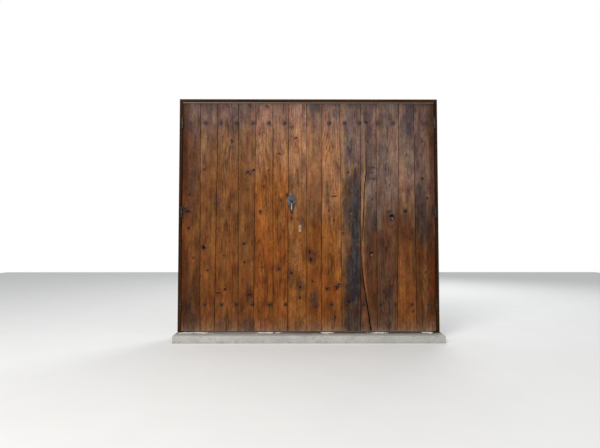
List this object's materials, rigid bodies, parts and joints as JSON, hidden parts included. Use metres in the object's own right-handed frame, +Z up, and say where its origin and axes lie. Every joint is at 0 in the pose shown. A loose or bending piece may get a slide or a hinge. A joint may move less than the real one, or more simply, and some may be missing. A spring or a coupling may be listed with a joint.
{
  "type": "barn door",
  "caption": "Double-leaf barn door of reclaimed vertical boards with ledges, braces, bolts, hinges, lock and shoot bolts, in a timber frame on a stone sill.",
  "frame": {"origin": "middle of the opening, at ground level under the sill, in the plane of the boards' faces", "axes": "+X to the right along the wall, +Y into the building, +Z up; the outer face looks to -Y"},
  "size_m": [2.6, 0.313, 2.404],
  "materials": {
    "oak_boards": "oiled, satin, weathered towards the top",
    "frame_timber": "dark stain, satin",
    "ledge_timber": "oiled, satin",
    "peg_timber": "bare oak",
    "granite": "dressed, worn",
    "capping_metal": "dull folded sheet",
    "black_iron": "forged, blackened, worn",
    "zinc_steel": "zinc plated",
    "hinge_steel": "dark paint, rubbed on the knuckles",
    "washer_brass": "dull",
    "escutcheon_steel": "brushed",
    "plug_brass": "satin"
  },
  "bodies": {
    "frame": {"sill": "granite", "jamb_left": "frame_timber", "jamb_right": "frame_timber", "head": "frame_timber", "frame_pegs": "peg_timber", "bolt_keepers": "zinc_steel", "hinge_frame_halves": "hinge_steel", "hinge_pins": "hinge_steel", "hinge_washers": "washer_brass"},
    "left_leaf": {"board_01": "oak_boards", "board_02": "oak_boards", "board_03": "oak_boards", "board_04": "oak_boards", "board_05": "oak_boards", "board_06": "oak_boards", "board_07": "oak_boards", "left_ledge_top": "ledge_timber", "left_ledge_middle": "ledge_timber", "left_ledge_foot": "ledge_timber", "left_brace_lower": "ledge_timber", "left_brace_upper": "ledge_timber", "left_capping": "capping_metal", "left_coach_bolts": "black_iron", "left_nuts": "zinc_steel", "left_ledge_screws": "zinc_steel", "left_hinge_halves": "hinge_steel", "pull_plate": "black_iron", "pull_boss": "black_iron", "pull_nut": "zinc_steel", "pull_pin": "black_iron", "escutcheon": "escutcheon_steel", "lock_cylinder": "escutcheon_steel", "lock_case": "black_iron"},
    "right_leaf": {"board_08": "oak_boards", "board_09": "oak_boards", "board_10": "oak_boards", "board_11": "oak_boards", "board_12": "oak_boards", "board_13": "oak_boards", "board_14": "oak_boards", "right_ledge_top": "ledge_timber", "right_ledge_middle": "ledge_timber", "right_ledge_foot": "ledge_timber", "right_brace_lower": "ledge_timber", "right_brace_upper": "ledge_timber", "right_capping": "capping_metal", "right_coach_bolts": "black_iron", "right_nuts": "zinc_steel", "right_ledge_screws": "zinc_steel", "right_hinge_halves": "hinge_steel", "strike": "black_iron", "top_bolt_guides": "black_iron", "foot_bolt_guides": "black_iron"},
    "drop_pull": {"drop_pull": "black_iron"},
    "lock_bolt": {"lock_bolt": "escutcheon_steel"},
    "lock_plug": {"lock_plug": "plug_brass"},
    "top_bolt": {"top_bolt": "black_iron"},
    "foot_bolt": {"foot_bolt": "black_iron"}
  },
  "joints": [
    {"name": "left_leaf_swing", "type": "hinge", "parent": "frame", "child": "left_leaf", "pos_m": [-1.268, -0.0095, 0.07], "axis": [0, 0, -1], "range_deg": [0, 95]},
    {"name": "right_leaf_swing", "type": "hinge", "parent": "frame", "child": "right_leaf", "pos_m": [1.268, -0.0095, 0.07], "axis": [0, 0, 1], "range_deg": [0, 95]},
    {"name": "drop_pull_lift", "type": "hinge", "parent": "left_leaf", "child": "drop_pull", "pos_m": [-0.17, -0.022, 1.356], "axis": [-1, 0, 0], "range_deg": [0, 90]},
    {"name": "lock_bolt_throw", "type": "slide", "parent": "left_leaf", "child": "lock_bolt", "axis": [1, 0, 0], "range_m": [0, 0.035]},
    {"name": "key_turn", "type": "hinge", "parent": "left_leaf", "child": "lock_plug", "pos_m": [-0.087, 0, 1.098], "axis": [0, 1, 0], "range_deg": [0, 360]},
    {"name": "top_bolt_slide", "type": "slide", "parent": "right_leaf", "child": "top_bolt", "axis": [0, 0, 1], "range_m": [0, 0.03]},
    {"name": "foot_bolt_slide", "type": "slide", "parent": "right_leaf", "child": "foot_bolt", "axis": [0, 0, -1], "range_m": [0, 0.03]}
  ],
  "couplings": [
    {"joint": "key_turn", "follows": "lock_bolt_throw", "rad_per_m": 179.5}
  ]
}
